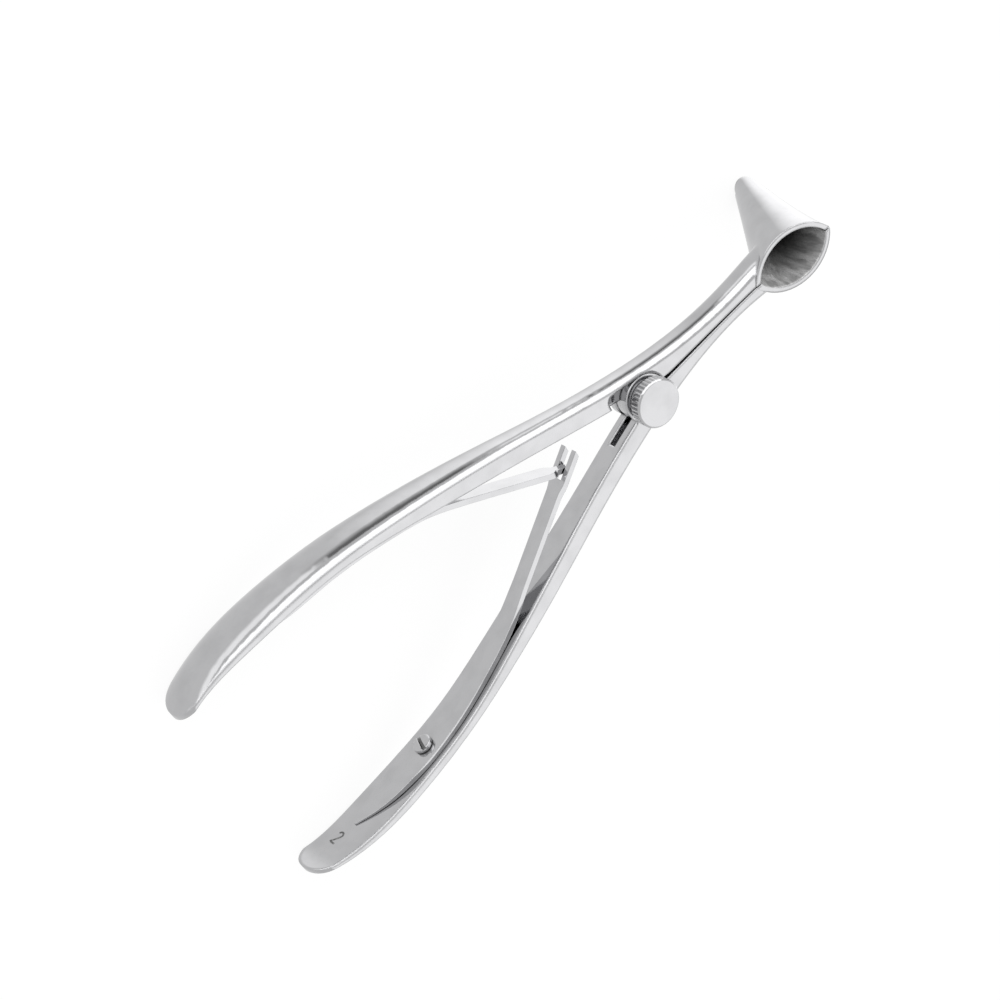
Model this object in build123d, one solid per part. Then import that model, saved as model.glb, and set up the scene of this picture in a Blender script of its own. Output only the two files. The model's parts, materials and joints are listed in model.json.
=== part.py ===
"""Nasal speculum of polished steel: two sprung handles on a box joint, with half-funnel blades.

Everything is drawn in the frame of the pivot: +X runs from the pivot to the blades, +Y to the
upper arm and +Z along the pivot screw to its head. The last step tilts the closed instrument
until its blade tips and handle ends stand on one floor.
"""
import os
from math import asin, atan2, cos, degrees, hypot, radians, sin

from build123d import *

# Handles and shanks, in millimetres
handle_reach = 99.9           # pivot axis to the handle end
handle_spread = 27.2          # outer face from the centre line where the handles are widest
handle_end_spread = 22.3      # outer face from the centre line at the handle end
handle_end_thickness = 1.2
handle_thickness = 3.8        # at the widest part of the grip
handle_crown = 2.2            # rise of the outer face across the grip
arm_thickness = 5.0           # from the middle of the handle to the pivot
arm_crown = 1.6               # rise of the outer face from the pivot forward
handle_depth = 10.4           # across the grip, along the pivot axis
handle_drop = 0.35            # middle of the grip below the middle of the joint
handle_end_radius = 4.7
arm_depth = 5.3               # at the pivot and along the shank
arm_half_width = 6.45         # outer face from the centre line at the pivot
shank_half_width = 3.25       # outer face from the centre line at the narrowest place
shank_narrowest = 22.0        # from the pivot to that place
flare_rise = 0.25             # how far the shank has widened where the mouth begins
split_start = 0.8             # pivot axis to the place where the shanks part
split_gap = 0.8               # between the shanks at the pivot, narrowing to the blade gap
edge_bevel = 0.3              # inner edges of the arms

# Blades
mouth_near = 29.9             # near corner of the funnel mouth, from the pivot
mouth_near_height = 3.1
rim_rise = 0.12               # rim of the mouth above the top of the shank
mouth_length = 16.5           # near to far corner
mouth_tilt = 8.7              # degrees that the mouth rises towards its far corner
mouth_half_width = 5.85
blade_length = 26.6           # along the funnel axis, mouth to tip
blade_lean = 22.6             # degrees between the funnel axis and the pivot axis
blade_wall = 1.0
blade_tip_width = 4.4         # across the tip, seen from the side
blade_tip_half_width = 2.7
blade_gap = 0.3               # between the edges of the closed blades
taper_power = 0.86            # below 1, the funnel narrows fastest at its mouth

# Box joint
ear_radius = 4.5
ear_slot = 1.7                # between the ears
tongue_thickness = 1.6
tongue_radius = 4.3
joint_clearance = 0.15        # round the ears and the tongue
slot_wall = 2.0               # steel left under the slot
slot_rear = 9.4               # pivot axis to the rear end of the slot
recess_rear = 6.7             # pivot axis to the rear end of the ear recess
recess_height = 5.8           # top of the recess from the centre line
recess_lobe_radius = 1.5      # of its rear corner

# Pivot screw
pivot_radius = 1.6
running_clearance = 0.05
thumb_radius = 4.6
thumb_height = 2.7
thumb_neck_radius = 3.5
thumb_neck_height = 1.25
thumb_bevel = 0.35
thumb_crown = 0.25            # rise of the domed top
knurl_count = 36
knurl_depth = 0.28

# Leaf springs and their screws
spring_thickness = 1.1
spring_seat_gap = 0.04
spring_end_gap = 11.9         # handle end to the pointed tail
spring_leaf_width = 7.1
spring_strip_width = 3.5
spring_lift_off = 50.0        # pivot axis to the place where the spring leaves the arm
spring_bend = 8.0             # length of the bend that follows
spring_bend_gap = 0.75        # between spring and arm at the end of the bend
spring_crossing = 20.3        # pivot axis to the place where the two springs cross
fork_end = 16.4               # pivot axis to the tips of the fork
fork_width = 4.4
fork_slot = 2.0
tongue_end = 18.2             # pivot axis to the tip of the spring tongue
spring_tongue_width = 1.6
spring_screw_back = 18.4      # pointed tail to the spring screw
spring_screw_turn = 20        # degrees that its slot is turned from square to the spring
spring_screw_head_radius = 1.8
spring_screw_head_height = 1.3
spring_screw_dome = 0.4       # rise of the domed head
spring_screw_radius = 1.0
spring_screw_depth = 2.3      # into the arm
screw_slot_width = 0.7
screw_slot_depth = 0.7


def blend_values(a, b, share):
    """A value between a and b."""
    return a + (b - a) * share


def outer_points():
    """Outer face of the upper arm from the handle end to the funnel, as (x, y)."""
    reach, spread = handle_reach, handle_spread
    end_x, _ = mouth_point(mouth_length / 2)
    return [
        (-reach, handle_end_spread),
        (-0.94 * reach, 0.938 * spread),
        (-0.79 * reach, spread),
        (-0.64 * reach, 0.945 * spread),
        (-0.49 * reach, 0.816 * spread),
        (-0.345 * reach, 0.653 * spread),
        (-0.2 * reach, 0.467 * spread),
        (-0.1 * reach, blend_values(arm_half_width, 0.467 * spread, 0.45)),
        (0, arm_half_width),
        (0.45 * shank_narrowest, blend_values(shank_half_width, arm_half_width, 0.3)),
        (shank_narrowest, shank_half_width),
        (mouth_near, shank_half_width + flare_rise),
        (end_x, blade_half_width(0.3) - blade_wall / 2),
    ]


def inner_points():
    """Inner face of the upper arm: behind the pivot it follows the outer face.

    Ahead of the pivot it runs past the centre line, and the split is cut later.
    """
    grip, arm = handle_thickness, arm_thickness
    thicknesses = [
        handle_end_thickness,
        blend_values(handle_end_thickness, grip, 0.5),
        grip,
        grip,
        blend_values(grip, arm, 0.5),
        arm,
        arm,
        arm,
        arm,
    ]
    end_x, _ = mouth_point(mouth_length / 2)
    past = -2 * edge_bevel
    points = [(x, y - t) for (x, y), t in zip(outer_points(), thicknesses)]
    return points + [(shank_narrowest / 2, past), (shank_narrowest, past), (end_x, past)]


def mouth_point(along):
    """Point of the mouth plane on the centre line, as (x, z)."""
    tilt = radians(mouth_tilt)
    return mouth_near + along * cos(tilt), mouth_near_height + along * sin(tilt)


def blade_half_width(share):
    """Half of the funnel's width across both blades, from the mouth (0) to the tip (1)."""
    return blend_values(mouth_half_width, blade_tip_half_width, share ** taper_power)


outer_curve = Spline(*outer_points())
inner_curve = Spline(*inner_points())
spring_tail = handle_reach - spring_end_gap
spring_screw_place = spring_tail - spring_screw_back


def place_on(curve, x):
    """Point and direction of a curve that runs along X, at x."""
    low, high = 0.0, 1.0
    for _ in range(40):
        middle = (low + high) / 2
        if (curve @ middle).X < x:
            low = middle
        else:
            high = middle
    return curve @ low, curve % low


def inner_place(x):
    """Point and direction of the inner face of the upper arm at x."""
    return place_on(inner_curve, x)


def depth_limits(x):
    """Lowest and highest z of the arm's section at x."""
    grip, arm, reach = handle_depth / 2, arm_depth / 2, handle_reach
    end_x, end_z = mouth_point(mouth_length / 2)
    depths = Spline(
        (handle_end_radius - reach, handle_end_radius),
        (-0.88 * reach, grip),
        (-0.73 * reach, grip),
        (-0.58 * reach, blend_values(arm, grip, 0.8)),
        (-0.35 * reach, blend_values(arm, grip, 0.37)),
        (-0.1 * reach, arm),
        tangents=[(1, 0), (1, 0)],
    )
    rise = Spline(
        (shank_narrowest, arm),
        (mouth_near, mouth_near_height - rim_rise),
        (end_x, end_z - rim_rise),
        tangents=[(1, 0), (cos(radians(mouth_tilt)), sin(radians(mouth_tilt)))],
    )
    if x < -0.1 * reach:
        half = place_on(depths, max(x, handle_end_radius - reach))[0].Y
        drop = handle_drop * min(1, (half - arm) / (handle_end_radius - arm))
        return -half - drop, half - drop
    if x < shank_narrowest:
        return -arm, arm
    return -arm, place_on(rise, x)[0].Y


def arm_section(x):
    """Section of the upper arm at x: flat inside, flat sides and a crowned outer face."""
    outer, inner = place_on(outer_curve, x)[0].Y, inner_place(x)[0].Y
    low, high = depth_limits(x)
    breadth = (high - low - arm_depth) / (handle_depth - arm_depth)
    crown = blend_values(arm_crown, handle_crown, breadth if x < 0 else 0)
    crown = min(crown, 0.6 * (outer - inner))
    bevel = edge_bevel
    outline = make_face([
        Polyline(
            (outer - crown, low),
            (inner + bevel, low),
            (inner, low + bevel),
            (inner, high - bevel),
            (inner + bevel, high),
            (outer - crown, high),
        ),
        ThreePointArc((outer - crown, low), (outer, (low + high) / 2), (outer - crown, high)),
    ])
    return Plane(origin=(x, 0, 0), x_dir=(0, 1, 0), z_dir=(1, 0, 0)) * outline


def extrude_across(sketch, half):
    """Solid of a sketch in the XY plane, as far below that plane as above it."""
    return extrude(Pos(0, 0, -half) * sketch, 2 * half, dir=(0, 0, 1))


def extrude_sideways(sketch, half):
    """Solid of a plan drawn as (x, z), carried along Y to both sides."""
    return extrude(Pos(0, -half, 0) * (Plane.XZ * sketch), 2 * half, dir=(0, 1, 0))


def handle_end_waste():
    """What is cut away to round the handle end, seen from the side."""
    radius, reach = handle_end_radius, 2 * handle_spread
    block = Pos(-radius, 0, 0) * Box(2 * radius, reach, 4 * radius)
    waste = block - extrude_sideways(Circle(radius), reach)
    return Pos(radius - handle_reach, 0, -handle_drop) * waste


def arm_bar():
    """Handle and shank of the upper arm, lofted through sections along its length."""
    rear, count = handle_end_radius - handle_reach, 12
    front, _ = mouth_point(mouth_length / 2)
    places = [-handle_reach] + [blend_values(rear, front, i / count) for i in range(count + 1)]
    return loft([arm_section(x) for x in places]) - handle_end_waste()


def axis_point(along):
    """Point of the funnel's axis at a distance below the mouth, as (x, z)."""
    lean = radians(blade_lean)
    middle_x, middle_z = mouth_point((mouth_length - blade_wall) / 2)
    return middle_x + along * sin(lean), middle_z - along * cos(lean)


def tip_centre():
    """Centre of the round blade tip, as (x, z)."""
    return axis_point(blade_length - blade_tip_width / 2)


def blade_width(share):
    """Width of the funnel seen from the side, from the mouth (0) to the tip (1)."""
    return blend_values(mouth_length + blade_wall, blade_tip_width, share ** taper_power)


def funnel_half(inset):
    """Half of the funnel as a solid, with its outside moved in by the inset."""
    sections = []
    for share in (0, 0.2, 0.55, 1):
        centre_x, centre_z = axis_point(share * blade_length)
        turn = radians(blend_values(mouth_tilt, blade_lean, min(1, 2 * share)))
        across = (cos(turn), 0, sin(turn))
        normal = (-sin(turn), 0, cos(turn))
        half = blade_width(share) / 2 - inset
        rise = blade_half_width(share) - inset
        outline = make_face([
            ThreePointArc((-half, 0), (0, rise), (half, 0)),
            Line((half, 0), (-half, 0)),
        ])
        section = Plane(origin=(centre_x, 0, centre_z), x_dir=across, z_dir=normal)
        sections.append(section * outline)
    return loft(sections)


def tip_waste():
    """What is cut away to round the blade tip, seen from the side."""
    lean = radians(blade_lean)
    tip_x, tip_z = tip_centre()
    centre = Plane(origin=(tip_x, 0, tip_z), x_dir=(cos(lean), 0, sin(lean)), z_dir=(0, -1, 0))
    reach = mouth_half_width
    block = Pos(0, -reach, 0) * Box(4 * reach, 2 * reach, 4 * reach)
    return centre * (block - Cylinder(blade_tip_width / 2, 4 * reach))


def split_waste():
    """What is cut away under the split face of the shank and blade."""
    end = mouth_point(mouth_length)[0] + 2 * blade_tip_width
    outline = make_face(Polyline(
        (split_start, split_gap / 2),
        (mouth_near, blade_gap / 2),
        (end, blade_gap / 2),
        (end, -mouth_half_width),
        (split_start, -mouth_half_width),
        close=True,
    ))
    return extrude_across(outline, 2 * blade_length)


def arm_blank():
    """The upper arm before its joint is cut: bar, funnel half and rounded blade tip."""
    blank = arm_bar() + funnel_half(0)
    blank -= funnel_half(blade_wall)
    blank -= tip_waste()
    return blank - split_waste()


def spring_screw_plane():
    """Plane on the inner face of the upper arm at its spring screw, facing the centre line."""
    place, along = inner_place(-spring_screw_place)
    return Plane(origin=place, x_dir=along, z_dir=(along.Y, -along.X, 0))


def upper_arm():
    """Upper arm with the tongue of the joint and the recesses for the ears."""
    arm = arm_blank() + Cylinder(tongue_radius, tongue_thickness)
    lobe = recess_lobe_radius
    corner = Pos(lobe - recess_rear, recess_height - lobe) * Circle(lobe)
    shape = make_hull([*Circle(ear_radius + joint_clearance).edges(), *corner.edges()])
    foot = Rectangle(recess_rear, 2 * recess_height - lobe, align=(Align.MAX, Align.MIN))
    shape += Pos(0, -recess_height) * foot
    height = arm_depth
    for side in (1, -1):
        middle = side * (tongue_thickness + height) / 2
        arm -= Pos(0, 0, middle) * extrude(shape, height / 2, both=True)
    arm -= Cylinder(pivot_radius + running_clearance, 2 * arm_depth)
    return arm - screw_hole()


def lower_arm():
    """Lower arm with the two ears of the joint and the slot between them."""
    arm = mirror(arm_blank(), Plane.XZ) + Cylinder(ear_radius, arm_depth)
    floor_x, floor_y = -slot_rear, -(outer_height(-slot_rear) - slot_wall)
    radius = tongue_radius + joint_clearance
    shape = Circle(radius) + make_face(Polyline(
        (floor_x, ear_radius), (floor_x, floor_y), (0, -radius), (0, ear_radius), close=True,
    ))
    open_radius = ear_radius + joint_clearance
    shape += Pos(0, open_radius / 2) * Rectangle(2 * open_radius, open_radius)
    arm -= extrude_across(shape, ear_slot / 2)
    arm -= Cylinder(pivot_radius + running_clearance, 2 * arm_depth)
    return arm - mirror(screw_hole(), Plane.XZ)


def outer_height(x):
    """Distance of the outer face from the centre line at x, behind the pivot."""
    place, _ = inner_place(x)
    return place.Y + arm_thickness


def screw_hole():
    """Blind hole of the upper spring's screw."""
    depth = spring_screw_depth + running_clearance
    return spring_screw_plane() * Cylinder(spring_screw_radius + running_clearance, 2 * depth)


def pivot_screw():
    """Knurled thumb screw, turned from bar: shank, neck and head."""
    seat = arm_depth / 2 + running_clearance
    under = seat + thumb_neck_height
    top = under + thumb_height
    outline = make_face([
        Polyline(
            (0, -seat),
            (pivot_radius - thumb_bevel, -seat),
            (pivot_radius, thumb_bevel - seat),
            (pivot_radius, seat),
            (thumb_neck_radius, seat),
            (thumb_neck_radius, under),
            (thumb_radius - thumb_bevel, under),
            (thumb_radius, under + thumb_bevel),
            (thumb_radius, top - thumb_bevel - thumb_crown),
            (thumb_radius - thumb_bevel, top - thumb_crown),
        ),
        TangentArc((0, top), (thumb_radius - thumb_bevel, top - thumb_crown), tangent=(1, 0)),
        Line((0, top), (0, -seat)),
    ])
    screw = revolve(Plane.XZ * outline, Axis.Z)
    groove_side = knurl_depth * 2 ** 0.5
    groove_height = 2 * (thumb_height - thumb_crown - thumb_bevel)
    groove = Box(groove_side, groove_side, groove_height)
    groove = Pos(thumb_radius, 0, under) * Rot(0, 0, 45) * groove
    for turn in range(knurl_count):
        screw -= Rot(0, 0, turn * 360 / knurl_count) * groove
    return screw


def spring_path():
    """Middle line of the upper spring: along the arm, then straight towards the centre line."""
    lift = spring_seat_gap + spring_thickness / 2
    seat = []
    count = 9
    for i in range(count):
        x = -blend_values(spring_tail, spring_lift_off, i / (count - 1))
        place, along = inner_place(x)
        seat.append(place + Vector(along.Y, -along.X, 0) * lift)
    place, along = inner_place(spring_bend - spring_lift_off)
    bend_end = place + Vector(along.Y, -along.X, 0) * (spring_bend_gap + spring_thickness / 2)
    crossing = Vector(-spring_crossing, spring_thickness / 2, 0)
    tip = bend_end + (crossing - bend_end) * ((-fork_end - bend_end.X) / (crossing.X - bend_end.X))
    on_arm = Spline(*seat)
    bend = Spline(seat[-1], bend_end, tangents=[on_arm % 1, tip - bend_end])
    return Wire([on_arm, bend, Line(bend_end, tip)])


def spring_side():
    """Side view of the upper spring: a strip of even thickness along its middle line."""
    path = spring_path()
    stations = 40
    near_arm, inner = [], []
    for i in range(stations + 1):
        along = path % (i / stations)
        across = Vector(-along.Y, along.X, 0) * (spring_thickness / 2)
        near_arm.append(path @ (i / stations) + across)
        inner.append(path @ (i / stations) - across)
    return make_face([
        Spline(*near_arm),
        Line(near_arm[-1], inner[-1]),
        Spline(*inner),
        Line(near_arm[0], inner[0]),
    ])


def leaf_plan(tip):
    """Plan of a spring as (x, z): pointed tail, broad leaf, even strip, then the given tip."""
    leaf, even = spring_leaf_width / 2, spring_strip_width / 2
    tail = spring_tail
    edge = Spline(
        (-tail, 0.15),
        (-0.965 * tail, 0.42 * leaf),
        (-0.915 * tail, 0.75 * leaf),
        (-0.83 * tail, leaf),
        (-0.74 * tail, 0.95 * leaf),
        (-0.62 * tail, blend_values(even, leaf, 0.6)),
        (-0.43 * tail, even),
        tangents=[(0.6, 1), (1, 0)],
    )
    upper = [edge, Polyline((-0.43 * tail, even), *tip)]
    lower = [mirror(piece, Plane.XZ) for piece in upper]
    return make_face([*upper, *lower, Line((-tail, 0.15), (-tail, -0.15))])


def upper_spring():
    """Leaf spring of the upper arm, with a narrow tongue at its free end."""
    shoulder = -spring_crossing - spring_tongue_width / 2
    even, narrow = spring_strip_width / 2, spring_tongue_width / 2
    plan = leaf_plan([
        (shoulder - narrow, even),
        (shoulder, narrow),
        (-tongue_end - narrow, narrow),
        (-tongue_end, 0),
    ])
    return finished_spring(plan)


def lower_spring():
    """Leaf spring of the lower arm, with a fork that takes the other spring's tongue."""
    even, broad = spring_strip_width / 2, fork_width / 2
    flare = -spring_crossing - broad / 2
    plan = leaf_plan([
        (flare - broad, even),
        (flare, broad),
        (-fork_end, broad),
        (-fork_end, 0),
    ])
    depth = spring_crossing + spring_tongue_width - fork_end
    plan -= Pos(-fork_end - depth / 2) * Rectangle(depth, fork_slot)
    return finished_spring(plan)


def finished_spring(plan):
    """Upper spring cut to its plan, with the hole for its screw."""
    blank = extrude_across(spring_side(), spring_leaf_width)
    blank = blank & extrude_sideways(plan, handle_spread)
    hole = Cylinder(spring_screw_radius + running_clearance, 4 * spring_thickness)
    return blank - spring_screw_plane() * hole


def spring_screw():
    """Slotted screw with a low domed head, seated on the upper spring."""
    seat = spring_thickness + 2 * spring_seat_gap
    top = seat + spring_screw_head_height
    radius = spring_screw_head_radius
    outline = make_face([
        Polyline(
            (0, -spring_screw_depth),
            (spring_screw_radius, -spring_screw_depth),
            (spring_screw_radius, seat),
            (radius, seat),
            (radius, top - spring_screw_dome),
        ),
        TangentArc((0, top), (radius, top - spring_screw_dome), tangent=(1, 0)),
        Line((0, top), (0, -spring_screw_depth)),
    ])
    screw = revolve(Plane.XZ * outline, Axis.Z)
    slot = Box(screw_slot_width, 3 * radius, 2 * screw_slot_depth)
    screw -= Pos(0, 0, top) * Rot(0, 0, spring_screw_turn) * slot
    return spring_screw_plane() * screw


def rest_place(shapes):
    """Location that stands the closed instrument on its blade tips and handle ends.

    Seen from the side both ends are round, so the floor is the line that touches the handle
    end's circle and the blade tip's circle from below. The origin is under the middle.
    """
    rear_x, rear_z = handle_end_radius - handle_reach, -handle_drop
    rear_radius = handle_end_radius
    tip_x, tip_z = tip_centre()
    tip_radius = blade_tip_width / 2
    span = hypot(tip_x - rear_x, tip_z - rear_z)
    slope = atan2(tip_z - rear_z, tip_x - rear_x) - asin((tip_radius - rear_radius) / span)
    turned = Rot(0, degrees(slope), 0)
    box = Compound(children=[turned * shape for shape in shapes]).bounding_box()
    lift = rear_radius + rear_x * sin(slope) - rear_z * cos(slope)
    return Pos(-box.center().X, 0, lift) * turned


nodes = {
    "upper_arm": upper_arm(),
    "lower_arm": lower_arm(),
    "pivot_screw": pivot_screw(),
    "upper_spring": upper_spring(),
    "lower_spring": mirror(lower_spring(), Plane.XZ),
    "upper_spring_screw": spring_screw(),
    "lower_spring_screw": mirror(spring_screw(), Plane.XZ),
}
standing = rest_place(list(nodes.values()))
print("pivot", standing.position, "tilt", standing.orientation)

os.makedirs("parts", exist_ok=True)
for name, shape in nodes.items():
    export_step(standing * shape, f"parts/{name}.step")
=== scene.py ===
import json
import math

import bmesh
import bpy
from mathutils import Matrix, Vector
from mathutils.bvhtree import BVHTree


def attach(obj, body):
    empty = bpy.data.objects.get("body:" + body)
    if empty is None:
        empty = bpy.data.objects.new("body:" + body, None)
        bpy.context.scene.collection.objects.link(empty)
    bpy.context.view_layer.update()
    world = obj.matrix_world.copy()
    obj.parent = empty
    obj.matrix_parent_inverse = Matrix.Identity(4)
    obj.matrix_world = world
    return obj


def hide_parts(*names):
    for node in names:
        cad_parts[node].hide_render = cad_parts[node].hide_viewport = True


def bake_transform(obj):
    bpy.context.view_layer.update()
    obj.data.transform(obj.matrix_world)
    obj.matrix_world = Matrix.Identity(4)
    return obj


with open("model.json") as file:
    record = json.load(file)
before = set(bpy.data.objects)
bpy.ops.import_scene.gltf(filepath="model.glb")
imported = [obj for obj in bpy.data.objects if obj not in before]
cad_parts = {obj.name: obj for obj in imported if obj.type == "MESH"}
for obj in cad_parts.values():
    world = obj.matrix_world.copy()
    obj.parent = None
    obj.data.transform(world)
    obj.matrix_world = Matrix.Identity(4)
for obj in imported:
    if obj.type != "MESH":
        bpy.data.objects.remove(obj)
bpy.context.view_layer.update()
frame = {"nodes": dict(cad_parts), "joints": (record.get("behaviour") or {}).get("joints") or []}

# The two arms. Each is forged from one bar of stainless steel, with its half of the funnel
# hammered thin and bent out at the end, then ground and polished to a mirror along its length.
# The inside of the funnel is harder to reach with the wheel and stays streaked and rougher.
# Deeper below the mouth, its colour is painted darker as painted shade.
mm = 0.001
hinge = next(joint for joint in frame["joints"] if joint["name"] == "box_joint")
pivot_axis = Vector(hinge["axis"]).normalized()
across_arms = Vector((0, 1, 0))
along_arms = across_arms.cross(pivot_axis)
to_part = Matrix((along_arms, across_arms, pivot_axis)).transposed().to_4x4()
to_part.translation = Vector(hinge["pos_m"])

steel_colour = (0.55, 0.55, 0.56)
# Painted shade: a dark colour mixed into the steel where ambient occlusion finds narrow corners and
# crevices.
corner_shade_colour = (0.08, 0.08, 0.08)
corner_shade_reach = 0.7 * mm
corner_shade_openness = (0.1, 0.75)
wave_scale = 110
grain_scale = (60, 2600, 2600)
grain_depth = 0.0004 * mm
cloud_scale = 260
cloud_edges = (0.3, 0.6)
cloud_dimming = 0.92
smoothest = 0.6
roughest = 1.5
arm_roughness = 0.06
arm_wave_height = 0.03 * mm
arm_edge_radius = 0.8 * mm
funnel_mouth = to_part @ (Vector((37.56, 0, 4.27)) * mm)
funnel_tip = to_part @ (Vector((47.78, 0, -20.29)) * mm)
funnel_reach = 8.4 * mm
funnel_rim = 4 * mm
funnel_colour = (0.72, 0.72, 0.72)
# Painted shade in the funnel: between these two depths below the mouth, the inner wall is painted
# darker.
funnel_shade_start_depth = 2 * mm
funnel_shade_full_depth = 11 * mm
funnel_roughness = 0.32
funnel_metallic = 0.35
funnel_facing = -0.35
funnel_deep_shade_share = 0.12
streak_scale = (900, 900, 160)
streak_edges = (0.38, 0.62)
streak_dimming = 0.5
streak_smooth = 0.7
streak_rough = 1.3


class NodeBoard:
    """Adds nodes to a material or world and links them, one short call each."""

    def __init__(self, owner, shader="Principled BSDF"):
        self.owner = owner
        self.owner.use_nodes = True
        self.tree = self.owner.node_tree
        self.shader = self.tree.nodes[shader]

    def add(self, kind, inputs=None, **settings):
        node = self.tree.nodes.new(kind)
        for key, value in settings.items():
            setattr(node, key, value)
        for key, value in (inputs or {}).items():
            if isinstance(value, bpy.types.NodeSocket):
                self.tree.links.new(value, node.inputs[key])
            else:
                node.inputs[key].default_value = value
        return node

    def maths(self, operation, first, second, clamp=False):
        node = self.add("ShaderNodeMath", {0: first, 1: second}, operation=operation)
        node.use_clamp = clamp
        return node.outputs[0]

    def vectors(self, operation, first, second, output="Vector"):
        node = self.add("ShaderNodeVectorMath", {0: first, 1: second}, operation=operation)
        return node.outputs[output]

    def noise(self, place, scale, detail):
        inputs = {"Vector": place, "Scale": scale, "Detail": detail}
        return self.add("ShaderNodeTexNoise", inputs).outputs[0]

    def bump(self, height, distance, normal):
        inputs = {"Height": height, "Distance": distance, "Normal": normal}
        return self.add("ShaderNodeBump", inputs).outputs[0]

    def spread(self, value, low, high, start=0.0, end=1.0):
        """A value between start and end, carried to the range from low to high."""
        inputs = {"Value": value, "From Min": start, "From Max": end, "To Min": low, "To Max": high}
        return self.add("ShaderNodeMapRange", inputs).outputs["Result"]

    def blend(self, factor, first, second):
        """One colour at a factor of 0 and the other at 1."""
        node = self.add("ShaderNodeMix", data_type="RGBA")
        self.tree.links.new(factor, node.inputs["Factor"])
        for key, colour in (("A", first), ("B", second)):
            socket = next(s for s in node.inputs if s.name == key and s.type == "RGBA")
            if isinstance(colour, bpy.types.NodeSocket):
                self.tree.links.new(colour, socket)
            else:
                socket.default_value = (*colour, 1)
        return next(s for s in node.outputs if s.type == "RGBA")

    def shade(self, socket, value):
        if isinstance(value, bpy.types.NodeSocket):
            self.tree.links.new(value, self.shader.inputs[socket])
        else:
            self.shader.inputs[socket].default_value = value


def darker(colour, share):
    return tuple(share * part for part in colour)


def steel_board(name, roughness, wave_height, edge_radius, shade_openness_range=corner_shade_openness):
    """Polished steel: soft edges, slow waves left by the wheel, fine grinding lines, faint clouds,
    and painted shade that darkens the colour in narrow corners, creases and slots."""
    board = NodeBoard(bpy.data.materials.new(name))
    board.place = board.add("ShaderNodeTexCoord").outputs["Object"]
    wave = board.noise(board.place, wave_scale, 1.5)
    grain = board.noise(board.vectors("MULTIPLY", board.place, grain_scale), 1, 3)
    cloud = board.noise(board.place, cloud_scale, 4)
    soft = board.add("ShaderNodeBevel", {"Radius": edge_radius}, samples=8)
    waves = board.bump(wave, wave_height, soft.outputs[0])
    board.rough = board.spread(cloud, roughness * smoothest, roughness * roughest)
    cloudiness = board.spread(cloud, 0, 1, *cloud_edges)
    polished = board.blend(cloudiness, darker(steel_colour, cloud_dimming), steel_colour)
    # Painted shade: ambient occlusion darkens the colour in corners, creases and slots.
    occlusion_shade = board.add("ShaderNodeAmbientOcclusion", {"Distance": corner_shade_reach}, samples=8)
    unshaded = board.spread(occlusion_shade.outputs["AO"], 0, 1, *shade_openness_range)
    board.colour = board.blend(unshaded, corner_shade_colour, polished)
    board.shade("Metallic", 1.0)
    board.shade("Base Color", board.colour)
    board.shade("Roughness", board.rough)
    board.shade("Normal", board.bump(grain, grain_depth, waves))
    return board


def inside_funnel(board):
    """The depth below the mouth, and 1 on the inner wall of the funnel and 0 elsewhere."""
    axis = (funnel_tip - funnel_mouth).normalized()
    offset = board.vectors("SUBTRACT", board.place, tuple(funnel_mouth))
    depth = board.vectors("DOT_PRODUCT", offset, tuple(axis), "Value")
    on_axis = board.add("ShaderNodeVectorMath", {0: tuple(axis), "Scale": depth}, operation="SCALE")
    radial = board.vectors("SUBTRACT", offset, on_axis.outputs[0])
    from_axis = board.vectors("LENGTH", radial, (0, 0, 0), "Value")
    outward = board.vectors("NORMALIZE", radial, (0, 0, 0))
    normal = board.add("ShaderNodeNewGeometry").outputs["Normal"]
    facing = board.vectors("DOT_PRODUCT", outward, normal, "Value")
    mask = board.maths("LESS_THAN", from_axis, funnel_reach)
    for operation, value, limit in (
        ("GREATER_THAN", depth, -funnel_rim),
        ("LESS_THAN", depth, (funnel_tip - funnel_mouth).length),
        ("LESS_THAN", facing, funnel_facing),
    ):
        mask = board.maths("MULTIPLY", mask, board.maths(operation, value, limit))
    return depth, mask


arm_steel = steel_board("arm_steel", arm_roughness, arm_wave_height, arm_edge_radius)
funnel_depth, inner_wall = inside_funnel(arm_steel)
down_funnel = arm_steel.vectors("MULTIPLY", arm_steel.place, streak_scale)
streaks = arm_steel.spread(arm_steel.noise(down_funnel, 1, 3), 0, 1, *streak_edges)
wall_colour = arm_steel.blend(streaks, darker(funnel_colour, streak_dimming), funnel_colour)
# Painted shade: the inner wall darkens with depth below the mouth.
deep_funnel_shade = arm_steel.spread(funnel_depth, 0, 1, funnel_shade_start_depth, funnel_shade_full_depth)
wall_colour = arm_steel.blend(deep_funnel_shade, wall_colour, darker(funnel_colour, funnel_deep_shade_share))
wall_rough = arm_steel.spread(streaks, funnel_roughness * streak_rough, funnel_roughness * streak_smooth)
smooth_part = arm_steel.maths("MULTIPLY", arm_steel.maths("SUBTRACT", 1, inner_wall), arm_steel.rough)
rough_part = arm_steel.maths("MULTIPLY", inner_wall, wall_rough)
arm_steel.shade("Base Color", arm_steel.blend(inner_wall, arm_steel.colour, wall_colour))
arm_steel.shade("Roughness", arm_steel.maths("ADD", smooth_part, rough_part))
arm_steel.shade("Metallic", arm_steel.spread(inner_wall, 1, funnel_metallic))
for arm in ("upper_arm", "lower_arm"):
    frame["nodes"][arm].data.materials.clear()
    frame["nodes"][arm].data.materials.append(arm_steel.owner)

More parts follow.
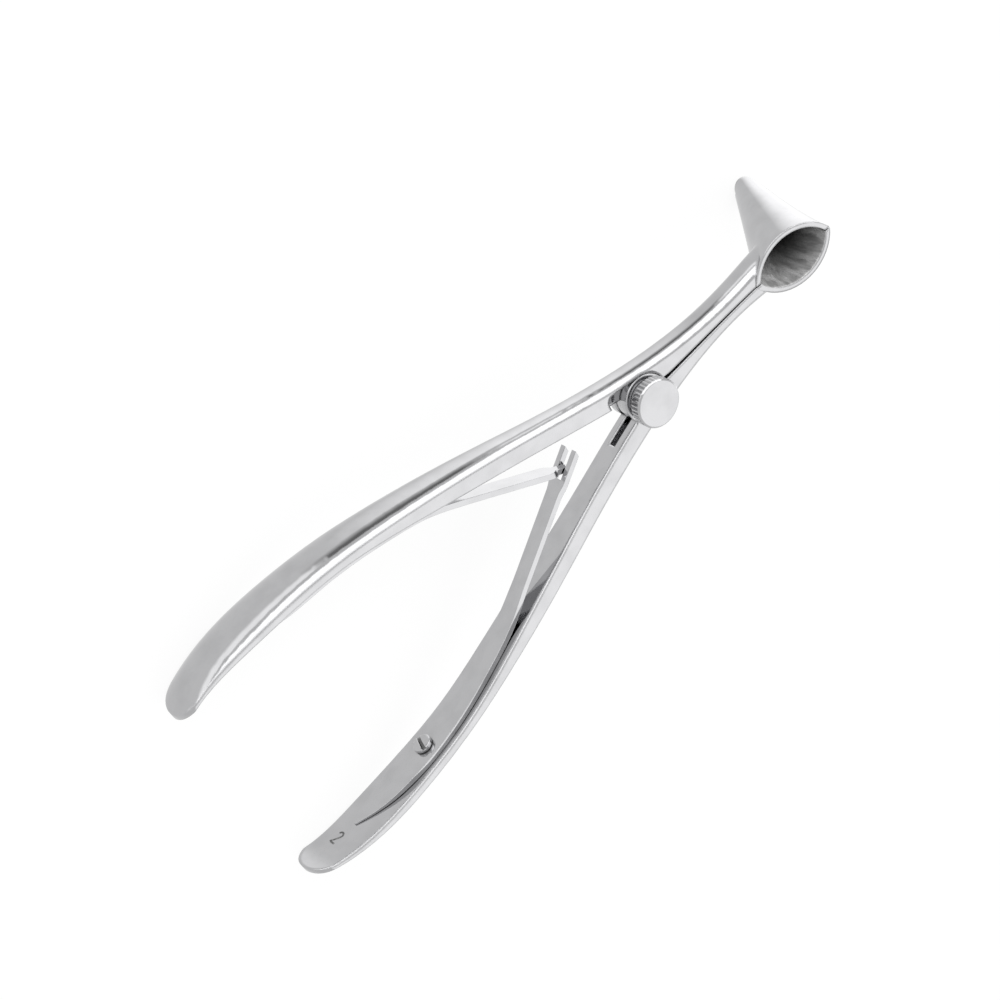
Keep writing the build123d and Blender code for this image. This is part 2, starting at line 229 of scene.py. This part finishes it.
# The size mark: a plain 2, etched grey into the flat inner face of the lower handle near its
# end. Its strokes follow the face and lie a hair proud of it.
mark_middle = Vector((-91.8, 0, -1.4)) * mm
mark_bowl_radius = 0.58 * mm
mark_half_height = 1.3 * mm
mark_half_width = 0.7 * mm
mark_stroke = 0.38 * mm
mark_proud = 0.012 * mm
mark_sunk = 0.03 * mm
bowl_steps = 12
bowl_start = 165
bowl_sweep = 200
slope_and_foot = ((-0.2, -0.45), (-1, -1), (-0.4, -1), (1, -1))
etch_dark = (0.09, 0.09, 0.09)
etch_light = (0.24, 0.24, 0.24)
etch_scale = 2500
etch_edges = (0.35, 0.65)
etch_roughness = (0.6, 0.45)
etch_metallic = 0.6


def etched_two():
    """The strokes of the 2 as (right, up) points: a bowl, a slope and a foot."""
    bowl_up = mark_half_height - mark_bowl_radius
    points = []
    for step in range(bowl_steps + 1):
        turn = math.radians(bowl_start - bowl_sweep * step / bowl_steps)
        right = mark_bowl_radius * math.cos(turn)
        points.append((right, bowl_up + mark_bowl_radius * math.sin(turn)))
    points += [(right * mark_half_width, up * mark_half_height) for right, up in slope_and_foot]
    return points


def face_finder(node):
    """A function that gives the height, across the arms, at which a ray meets a node."""
    data = frame["nodes"][node].data
    tree = BVHTree.FromPolygons([v.co for v in data.vertices], [p.vertices for p in data.polygons])

    def height(along, across, level, heading):
        start = to_part @ Vector((along, across, level))
        hit = tree.ray_cast(start, across_arms * heading)[0]
        return None if hit is None else hit.y

    return height


def etched_mark():
    """The strokes as a thin ribbon that follows the face of the handle."""
    height = face_finder("lower_arm")
    mesh = bmesh.new()
    points = [Vector(point) for point in etched_two()]
    rows = []
    for i, point in enumerate(points):
        heading = (points[min(i + 1, len(points) - 1)] - points[max(i - 1, 0)]).normalized()
        side = Vector((-heading.y, heading.x)) * mark_stroke / 2
        row = []
        for share, rise in ((1, mark_proud), (-1, mark_proud), (-1, -mark_sunk), (1, -mark_sunk)):
            spot = point + side * share
            along, level = mark_middle.x + spot.y, mark_middle.z + spot.x
            face = height(along, 0, level, -1)
            row.append(mesh.verts.new(to_part @ Vector((along, face + rise, level))))
        rows.append(row)
    for a, b in zip(rows, rows[1:]):
        for i in range(4):
            j = (i + 1) % 4
            mesh.faces.new([a[i], a[j], b[j], b[i]])
    mesh.faces.new(rows[0])
    mesh.faces.new(rows[-1])
    bmesh.ops.recalc_face_normals(mesh, faces=mesh.faces)
    data = bpy.data.meshes.new("etched_two")
    mesh.to_mesh(data)
    mesh.free()
    piece = bpy.data.objects.new("etched_two", data)
    bpy.context.scene.collection.objects.link(piece)
    return piece


etched_grey = NodeBoard(bpy.data.materials.new("etched_grey"))
etch_place = etched_grey.add("ShaderNodeTexCoord").outputs["Object"]
etch_share = etched_grey.spread(etched_grey.noise(etch_place, etch_scale, 2), 0, 1, *etch_edges)
etched_grey.shade("Base Color", etched_grey.blend(etch_share, etch_dark, etch_light))
etched_grey.shade("Roughness", etched_grey.spread(etch_share, *etch_roughness))
etched_grey.shade("Metallic", etch_metallic)
size_mark = etched_mark()
size_mark.data.materials.append(etched_grey.owner)
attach(size_mark, "lower")

# The pivot: a thumb screw turned from bar, with a domed head, a bevelled rim and a knurled
# edge. It passes through both ears of the box joint and holds the arms together.
screw_roughness = 0.1
screw_wave_height = 0.004 * mm
screw_edge_radius = 0.2 * mm

screw_steel = steel_board("screw_steel", screw_roughness, screw_wave_height, screw_edge_radius)
frame["nodes"]["pivot_screw"].data.materials.clear()
frame["nodes"]["pivot_screw"].data.materials.append(screw_steel.owner)

# The two leaf springs, cut from spring steel strip. Each lies along the inside of its arm,
# leaves it in an easy bend and meets the other behind the pivot, tongue in fork. In the instrument
# they flex between the arms; here each is built fine, in short stations along its length.
spring_tail = 88 * mm
leaf_half = 3.55 * mm
strip_half = 1.75 * mm
strip_share = 0.43
tail_point_half = 0.15 * mm
fork_end = 16.4 * mm
fork_half = 2.2 * mm
fork_slot_half = 1.0 * mm
crossing = 20.3 * mm
tongue_end = 18.2 * mm
tongue_half = 0.8 * mm
tail_thickness_share = 0.35
tail_thinning = 15 * mm
tail_turn = 0.7 * mm
tail_turn_length = 10 * mm
end_clearance = 0.4 * mm
knot_step = 3 * mm
station_step = 0.7 * mm
spring_edge = 0.13 * mm
spring_edge_angle = 35
search_reach = 5 * mm
search_step = 0.3 * mm
search_level = 0.7
spring_roughness = 0.09
spring_wave_height = 0.01 * mm
spring_soft_radius = 0.1 * mm

spring_steel = steel_board("spring_steel", spring_roughness, spring_wave_height, spring_soft_radius)


def eased(share):
    share = min(max(share, 0), 1)
    return share * share * (3 - 2 * share)


def smooth_curve(points, place):
    """Height at a place on the smooth curve through rising (place, height) points."""
    places = [p for p, _ in points]
    last = len(points) - 1
    i = max([k for k in range(last) if places[k] <= place], default=0)

    def slope(k):
        (x0, y0), (x1, y1) = points[max(k - 1, 0)], points[min(k + 1, last)]
        return (y1 - y0) / (x1 - x0)

    (x0, y0), (x1, y1) = points[i], points[i + 1]
    span = x1 - x0
    t = (place - x0) / span
    if t < 0 or t > 1:
        return (y0 + slope(i) * (place - x0)) if t < 0 else (y1 + slope(i + 1) * (place - x1))
    rise = eased(t)
    start_push = slope(i) * span * t * (1 - t) ** 2
    end_push = slope(i + 1) * span * t * t * (1 - t)
    return y0 + (y1 - y0) * rise + start_push - end_push


def leaf_half_width(back):
    """Half of a leaf's width at a distance behind the pivot: pointed tail, broad middle."""
    if back <= strip_share * spring_tail:
        return strip_half
    points = [
        (0.36 * spring_tail, strip_half),
        (strip_share * spring_tail, strip_half),
        (0.62 * spring_tail, strip_half + 0.6 * (leaf_half - strip_half)),
        (0.74 * spring_tail, 0.95 * leaf_half),
        (0.83 * spring_tail, leaf_half),
        (0.915 * spring_tail, 0.75 * leaf_half),
        (0.965 * spring_tail, 0.42 * leaf_half),
        (1.0 * spring_tail, tail_point_half),
    ]
    return smooth_curve(points, back)


def fork_plan(back):
    """Half width and slot half width of the lower spring, with the fork at its free end."""
    flare = crossing + fork_half / 2
    half = leaf_half_width(back)
    if back < flare + fork_half:
        half = strip_half + (fork_half - strip_half) * eased((flare + fork_half - back) / fork_half)
    return half, fork_slot_half if back < crossing + 2 * tongue_half else 0


def tongue_plan(back):
    """Half width of the upper spring, which narrows to a short pointed tongue."""
    shoulder = crossing + tongue_half
    half = leaf_half_width(back)
    if back < shoulder + tongue_half:
        half = tongue_half + (strip_half - tongue_half) * max(0, (back - shoulder) / tongue_half)
    if back < tongue_end + tongue_half:
        half = tongue_half * max(0.1, (back - tongue_end) / tongue_half)
    return half, 0


def spring_faces(node, side, plan, free_end):
    """The free face and the arm's face of a spring, as curves over the distance behind the pivot."""
    height = face_finder(node)
    first, last = spring_tail - end_clearance, free_end + end_clearance
    count = round((first - last) / knot_step)
    free, seated = [], []
    for i in range(count + 1):
        back = last + (first - last) * i / count
        level = search_level * plan(back)[0]
        near = height(-back, -side * search_reach, level, side)
        far = height(-back, near + side * search_step, level, side)
        free.append((back, near))
        seated.append((back, far))
    return free, seated


def spring(name, node, side, plan, free_end):
    """A leaf spring on the curves of its node, thinned and turned a little at its tail."""
    free, seated = spring_faces(node, side, plan, free_end)
    mesh = bmesh.new()
    count = round((spring_tail - free_end) / station_step)
    rings = []
    for i in range(count + 1):
        back = spring_tail + (free_end - spring_tail) * i / count
        half, slot = plan(back)
        outer = smooth_curve(seated, back)
        share = eased((spring_tail - back) / tail_thinning)
        share = tail_thickness_share + (1 - tail_thickness_share) * share
        inner = outer + (smooth_curve(free, back) - outer) * share
        middle = slot or half / 2
        turn = tail_turn * eased(1 - (spring_tail - back) / tail_turn_length)
        ring = []
        for level in (-half, -middle, middle, half):
            spots = (Vector((-back, face, level - turn)) for face in (inner, outer))
            ring.append([mesh.verts.new(to_part @ spot) for spot in spots])
        rings.append((ring, slot > 0))
    for (a, a_open), (b, b_open) in zip(rings, rings[1:]):
        both_open = a_open and b_open
        for i in (0, 1, 2):
            if i != 1 or not both_open:
                mesh.faces.new([a[i][0], b[i][0], b[i + 1][0], a[i + 1][0]])
                mesh.faces.new([a[i][1], b[i][1], b[i + 1][1], a[i + 1][1]])
        for i in (0, 1, 2, 3) if both_open else (0, 3):
            mesh.faces.new([a[i][0], b[i][0], b[i][1], a[i][1]])
        if b_open and not a_open:
            mesh.faces.new([b[1][0], b[2][0], b[2][1], b[1][1]])
    for ring, is_open in (rings[0], rings[-1]):
        for i in (0, 2) if is_open else (0, 1, 2):
            mesh.faces.new([ring[i][0], ring[i + 1][0], ring[i + 1][1], ring[i][1]])
    bmesh.ops.recalc_face_normals(mesh, faces=mesh.faces)
    data = bpy.data.meshes.new(name)
    mesh.to_mesh(data)
    mesh.free()
    piece = bpy.data.objects.new(name, data)
    bpy.context.scene.collection.objects.link(piece)
    data.materials.append(spring_steel.owner)
    data.shade_smooth()
    bevel = piece.modifiers.new("worn_edges", "BEVEL")
    bevel.width = spring_edge
    bevel.segments = 3
    bevel.limit_method = "ANGLE"
    bevel.angle_limit = math.radians(spring_edge_angle)
    bevel.harden_normals = True
    return piece


def flexed(piece, node):
    """Applies a spring's bevel, hides the CAD spring that it replaces and bakes its placement into the
    mesh.
    """
    depsgraph = bpy.context.evaluated_depsgraph_get()
    with_bevel = bpy.data.meshes.new_from_object(piece.evaluated_get(depsgraph))
    piece.modifiers.clear()
    piece.data = with_bevel
    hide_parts(node)
    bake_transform(piece)


lower_leaf = spring("forked_spring", "lower_spring", -1, fork_plan, fork_end)
upper_leaf = spring("tongued_spring", "upper_spring", 1, tongue_plan, tongue_end)
flexed(lower_leaf, "lower_spring")
flexed(upper_leaf, "upper_spring")

# Two short slotted screws, turned and polished, that clamp the springs to the arms. Their
# heads are rounded over at the rim, and their slots and the gaps under the heads carry a stronger
# painted shade.
slotted_wave_height = 0.002 * mm
slotted_edge_radius = 0.35 * mm
# A stronger painted shade: ambient occlusion paints the slot and the ring under each head dark.
slotted_shade_openness = (0.6, 0.95)

slotted_steel = steel_board(
    "slotted_steel", screw_roughness, slotted_wave_height, slotted_edge_radius, slotted_shade_openness
)
for node in ("lower_spring_screw", "upper_spring_screw"):
    frame["nodes"][node].data.materials.clear()
    frame["nodes"][node].data.materials.append(slotted_steel.owner)

# The studio: a pale floor and a large soft lamp on each side. Under the lamp on the side of the
# upper arm hangs a bright sheet with a dark card in its middle, which draws the dark line along
# the polished arm.
floor_half = 3.0
floor_colour = 0.86
floor_shadow = 0.12
floor_shown = 0.89

floor_mesh = bpy.data.meshes.new("floor")
floor_corners = [(x * floor_half, y * floor_half, 0) for x, y in ((-1, -1), (1, -1), (1, 1), (-1, 1))]
floor_mesh.from_pydata(floor_corners, [], [(0, 1, 2, 3)])
floor = bpy.data.objects.new("floor", floor_mesh)
bpy.context.scene.collection.objects.link(floor)
floor_board = NodeBoard(bpy.data.materials.new("floor"))
floor_rays = floor_board.add("ShaderNodeLightPath").outputs
seen_by = (floor_rays["Is Camera Ray"], floor_rays["Is Transmission Ray"])
seen = floor_board.maths("ADD", *seen_by, clamp=True)
floor_grey = floor_board.spread(seen, floor_colour, floor_shadow)
floor_board.shade("Base Color", floor_board.blend(floor_grey, (0, 0, 0), (1, 1, 1)))
floor_board.shade("Emission Color", (1, 1, 1, 1))
floor_board.shade("Emission Strength", floor_board.maths("MULTIPLY", seen, floor_shown))
floor_board.shade("Roughness", 0.9)
floor_board.shade("Specular IOR Level", 0.0)
floor_mesh.materials.append(floor_board.owner)
floor.visible_glossy = False

card_away = 0.9
card_top = 0.2
card_bottom = -0.2
card_solid = 0.05
card_half = 2.0
card_glow = 0.2
card_left = 0.4
card_left_border = 0.08
card_right = 0.8
card_right_border = 0.1
beside_glow = 1.4
below_dim = 0.84

card_mesh = bpy.data.meshes.new("dark_card")
card_corners = [
    (-card_half, card_away, card_bottom),
    (card_half, card_away, card_bottom),
    (card_half, card_away, card_top),
    (-card_half, card_away, card_top),
]
card_mesh.from_pydata(card_corners, [], [(0, 1, 2, 3)])
card = bpy.data.objects.new("dark_card", card_mesh)
bpy.context.scene.collection.objects.link(card)
card_board = NodeBoard(bpy.data.materials.new("dark_card"))
card_place = card_board.add("ShaderNodeTexCoord").outputs["Object"]
card_spot = card_board.add("ShaderNodeSeparateXYZ", {0: card_place}).outputs
card_board.shade("Base Color", (0, 0, 0, 1))
card_board.shade("Roughness", 1.0)
card_board.shade("Specular IOR Level", 0.0)
card_board.shade("Emission Color", (1, 1, 1, 1))
fade = card_board.spread(card_spot["Z"], below_dim, card_glow, card_bottom, card_solid)
glare = card_board.spread(card_spot["Z"], below_dim, beside_glow, -card_solid, card_solid)
past_left = card_board.spread(card_spot["X"], 0, 1, card_left - card_left_border, card_left)
past_right = card_board.spread(card_spot["X"], 1, 0, card_right, card_right + card_right_border)
on_card = card_board.maths("MULTIPLY", past_left, past_right)
dark_glow = card_board.maths("MULTIPLY", on_card, fade)
bright_glow = card_board.maths("MULTIPLY", card_board.maths("SUBTRACT", 1, on_card), glare)
card_board.shade("Emission Strength", card_board.maths("ADD", dark_glow, bright_glow))
card_mesh.materials.append(card_board.owner)
card.visible_camera = False
card.visible_shadow = False
card.visible_diffuse = False
card.visible_transmission = False


def soft_lamp(name, direction, distance, width, depth, radiance):
    """A large area lamp. Its power follows from the brightness that its face should have."""
    light = bpy.data.lights.new(name, "AREA")
    light.shape = "RECTANGLE"
    light.size = width
    light.size_y = depth
    light.energy = 4 * width * depth * radiance
    lamp = bpy.data.objects.new(name, light)
    away = Vector(direction).normalized()
    lamp.location = away * distance
    lamp.rotation_euler = away.to_track_quat("Z", "Y").to_euler()
    lamp.visible_camera = False
    bpy.context.scene.collection.objects.link(lamp)


lamp_distance = 1.2
soft_lamp("over_lower_arm", (0.28, -0.6, 0.75), lamp_distance, width=2.4, depth=1.2, radiance=0.48)
soft_lamp("beside_upper_arm", (0.28, 0.77, 0.57), lamp_distance, width=3.0, depth=0.62, radiance=1.0)

# Round them the room is even and grey. Below the floor line, where only the polished faces look,
# it is brighter towards the blades.
room_level = 0.78
below_bright = 1.6
below_dim_until = 0.48
below_bright_from = 0.76
horizon_depth = 0.25
room = NodeBoard(bpy.data.worlds.new("studio"), "Background")
bpy.context.scene.world = room.owner
rays = room.add("ShaderNodeLightPath").outputs
heading = room.add("ShaderNodeTexCoord").outputs["Generated"]
heading = room.add("ShaderNodeSeparateXYZ", {0: heading}).outputs
room_grey = (room_level, room_level, room_level)
below = room.spread(heading["X"], below_dim, below_bright, below_dim_until, below_bright_from)
upward = room.spread(heading["Z"], 0, 1, -horizon_depth, 0)
mirrored = room.blend(upward, below, room_grey)
lit = room.blend(rays["Is Glossy Ray"], room_grey, mirrored)
room.shade("Color", room.blend(rays["Is Camera Ray"], lit, (1, 1, 1)))
room.shade("Strength", 1.0)

# The camera looks down on the instrument from the side of its upper arm, turned so that the
# handles lie at the lower left.
camera_place = Vector((-149.18, 315.42, 397.52)) * mm
camera_aim = Vector((-32.21, 5.13, 0)) * mm
camera_top = Vector((0.69109, 0.65420, -0.30729))
view = bpy.data.cameras.new("camera")
view.lens = 106.93
view.sensor_width = 36
camera = bpy.data.objects.new("camera", view)
toward = (camera_place - camera_aim).normalized()
right = camera_top.cross(toward).normalized()
turned = Matrix((right, toward.cross(right), toward)).transposed().to_4x4()
camera.matrix_world = to_part @ Matrix.Translation(camera_place) @ turned
bpy.context.scene.collection.objects.link(camera)
bpy.context.scene.camera = camera
bpy.context.scene.view_settings.view_transform = "Standard"
